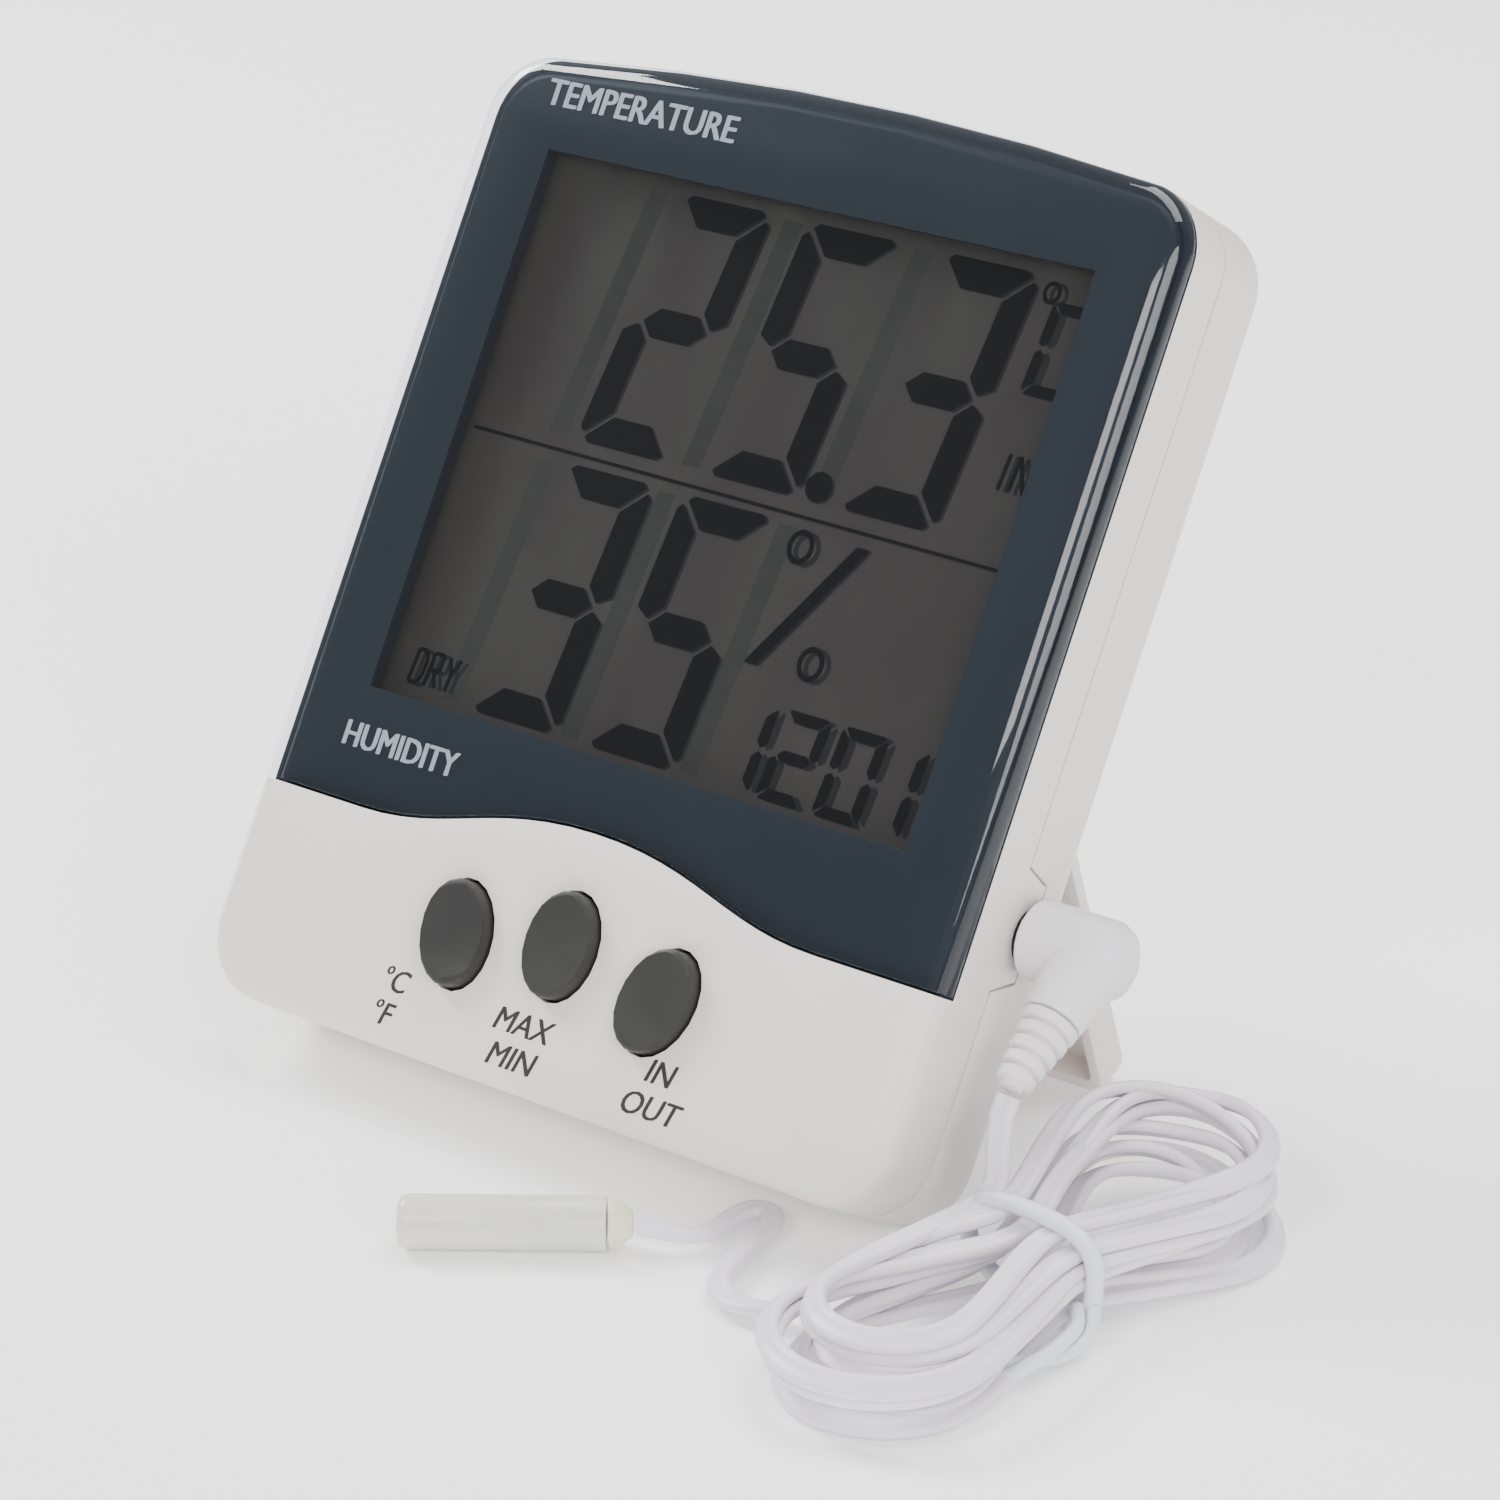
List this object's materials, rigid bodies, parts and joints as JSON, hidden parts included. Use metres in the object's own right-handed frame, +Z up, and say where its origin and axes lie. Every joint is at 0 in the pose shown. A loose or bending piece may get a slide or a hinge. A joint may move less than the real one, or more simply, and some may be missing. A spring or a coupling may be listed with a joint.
{
  "type": "maximum minimum thermometer",
  "caption": "Digital maximum minimum thermometer and hygrometer leaning on its stand, with a wired outdoor probe plugged into its side.",
  "frame": {"origin": "on the table, below the middle of the box around the case and its open stand", "axes": "+Z up, +Y away from the reader, +X to the reader's right"},
  "size_m": [0.1279, 0.1015, 0.1082],
  "materials": {
    "shell": "satin",
    "lens": "gloss",
    "border": "gloss",
    "lcd": "gloss",
    "retainer": "matte",
    "zebra": "matte",
    "board": "satin",
    "chip": "satin",
    "steel": "satin",
    "sensor": "matte",
    "black_plastic": "matte",
    "plunger": "matte",
    "button": "matte",
    "cell": "satin",
    "red_wire": "satin",
    "black_wire": "satin",
    "lead": "satin",
    "pin": "polished",
    "probe": "satin",
    "epoxy": "satin"
  },
  "bodies": {
    "case": {"air_thermistor": "chip", "battery_cell": "cell", "battery_spring": "steel", "board_screw_1": "steel", "board_screw_2": "steel", "case_screw_1": "steel", "case_screw_2": "steel", "case_screw_3": "steel", "case_screw_4": "steel", "circuit_board": "board", "clock_crystal": "steel", "controller_chip": "chip", "front_lens": "lens", "front_shell": "shell", "humidity_sensor": "sensor", "jack_socket": "black_plastic", "lcd_panel": "lcd", "lcd_retainer": "retainer", "lens_border": "border", "negative_contact": "steel", "negative_wire": "black_wire", "positive_contact": "steel", "positive_wire": "red_wire", "rear_shell": "shell", "switch_celsius_fahrenheit": "black_plastic", "switch_in_out": "black_plastic", "switch_max_min": "black_plastic", "zebra_connector": "zebra"},
    "stand": {"stand_leg": "shell"},
    "door": {"battery_door": "shell"},
    "probe_lead": {"plug_body": "lead", "plug_pin": "pin", "plug_strain_relief": "lead", "lead_plug_side": "lead", "lead_hank": "lead", "hank_tie": "lead", "lead_probe_side": "lead", "probe_capsule": "probe", "probe_epoxy_seal": "epoxy"},
    "key_celsius_fahrenheit": {"button_celsius_fahrenheit": "button", "plunger_celsius_fahrenheit": "plunger"},
    "key_max_min": {"button_max_min": "button", "plunger_max_min": "plunger"},
    "key_in_out": {"button_in_out": "button", "plunger_in_out": "plunger"}
  },
  "joints": [
    {"name": "stand_hinge", "type": "hinge", "parent": "case", "child": "stand", "pos_m": [0, 0.00343, 0.04505], "axis": [-1, 0, 0], "range_deg": [0, 50.7]},
    {"name": "battery_door_slide", "type": "slide", "parent": "case", "child": "door", "axis": [0, 0.8592, -0.5116], "range_m": [0, 0.02]},
    {"name": "plug_slide", "type": "slide", "parent": "case", "child": "probe_lead", "axis": [1, 0, 0], "range_m": [0, 0.013]},
    {"name": "button_press_celsius_fahrenheit", "type": "slide", "parent": "case", "child": "key_celsius_fahrenheit", "axis": [0, 0.8592, -0.5116], "range_m": [0, 0.0006], "stiffness_N_per_m": 500},
    {"name": "button_press_max_min", "type": "slide", "parent": "case", "child": "key_max_min", "axis": [0, 0.8592, -0.5116], "range_m": [0, 0.0006], "stiffness_N_per_m": 500},
    {"name": "button_press_in_out", "type": "slide", "parent": "case", "child": "key_in_out", "axis": [0, 0.8592, -0.5116], "range_m": [0, 0.0006], "stiffness_N_per_m": 500}
  ]
}
